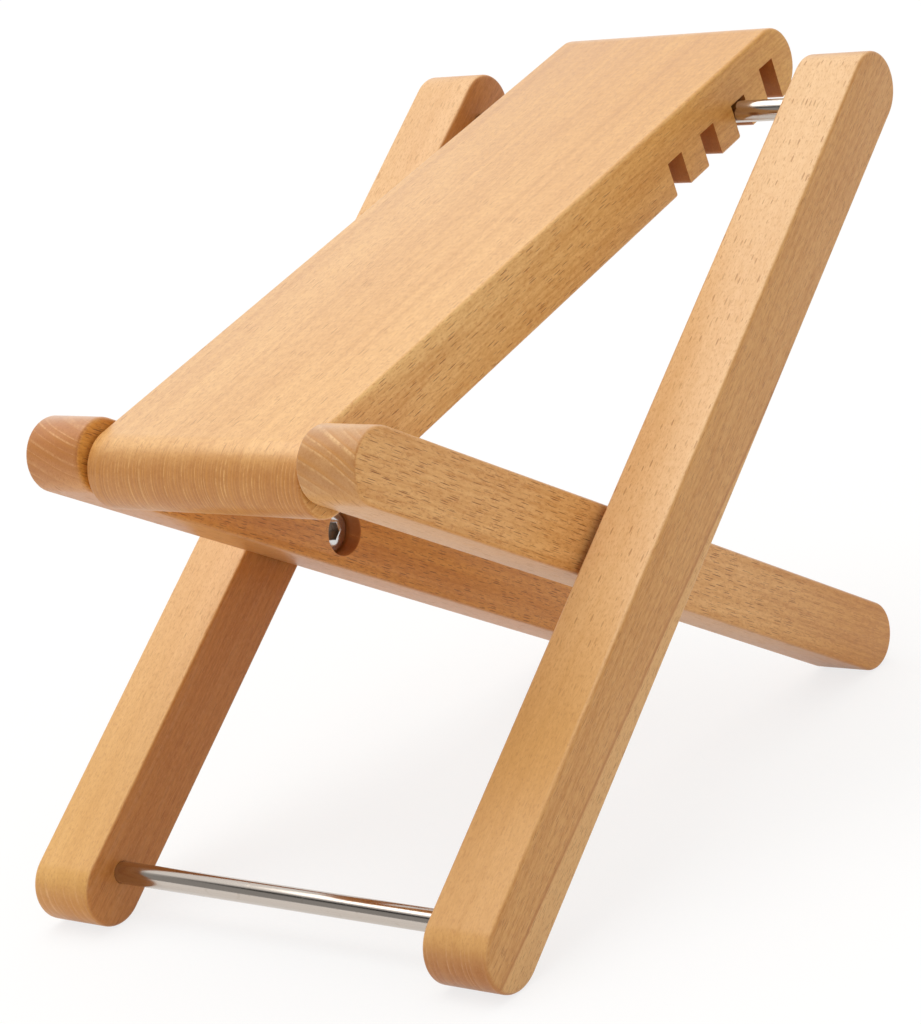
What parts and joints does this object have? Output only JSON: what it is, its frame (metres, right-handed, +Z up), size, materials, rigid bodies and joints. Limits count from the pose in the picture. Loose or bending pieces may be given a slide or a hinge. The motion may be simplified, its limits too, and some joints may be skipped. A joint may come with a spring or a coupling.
{
  "type": "guitar footrest",
  "caption": "Folding beech footrest for a seated guitarist: a slotted footplate hinged on crossed wooden frames and propped at the chosen height by a steel rod.",
  "frame": {"origin": "on the floor under the middle of the footrest's bounding box", "axes": "+Z up, +Y from the low front edge of the footplate to its raised rear edge, +X to the right as the player's foot points"},
  "size_m": [0.164, 0.2628, 0.1932],
  "materials": {
    "footplate_beech": "beech, clear satin varnish",
    "rail_beech": "beech, clear satin varnish",
    "leg_beech": "beech, clear satin varnish",
    "rod_steel": "bright polished",
    "bolt_steel": "bright zinc",
    "washer_steel": "bright zinc",
    "insert_brass": "plain",
    "slip_washer_nylon": "natural nylon"
  },
  "bodies": {
    "rails": {"rail_left": "rail_beech", "rail_right": "rail_beech", "hinge_rod": "rod_steel", "footplate_spacer_left": "slip_washer_nylon", "footplate_spacer_right": "slip_washer_nylon"},
    "leg_frame": {"leg_left": "leg_beech", "leg_right": "leg_beech", "support_rod": "rod_steel", "stretcher_rod": "rod_steel", "pivot_bolt_left": "bolt_steel", "pivot_bolt_right": "bolt_steel", "bolt_washer_left": "washer_steel", "bolt_washer_right": "washer_steel", "threaded_insert_left": "insert_brass", "threaded_insert_right": "insert_brass", "leg_spacer_left": "slip_washer_nylon", "leg_spacer_right": "slip_washer_nylon"},
    "footplate": {"footplate": "footplate_beech"}
  },
  "joints": [
    {"name": "leg_pivot", "type": "hinge", "parent": "rails", "child": "leg_frame", "pos_m": [0, -0.02193, 0.08219], "axis": [-1, 0, 0], "range_deg": [0, 68.2]},
    {"name": "footplate_hinge", "type": "hinge", "parent": "rails", "child": "footplate", "pos_m": [0, -0.1054, 0.13108], "axis": [1, 0, 0], "range_deg": [0, 75.1]}
  ],
  "couplings": [
    {"joint": "footplate_hinge", "follows": "leg_pivot", "ratio": 1.1}
  ]
}
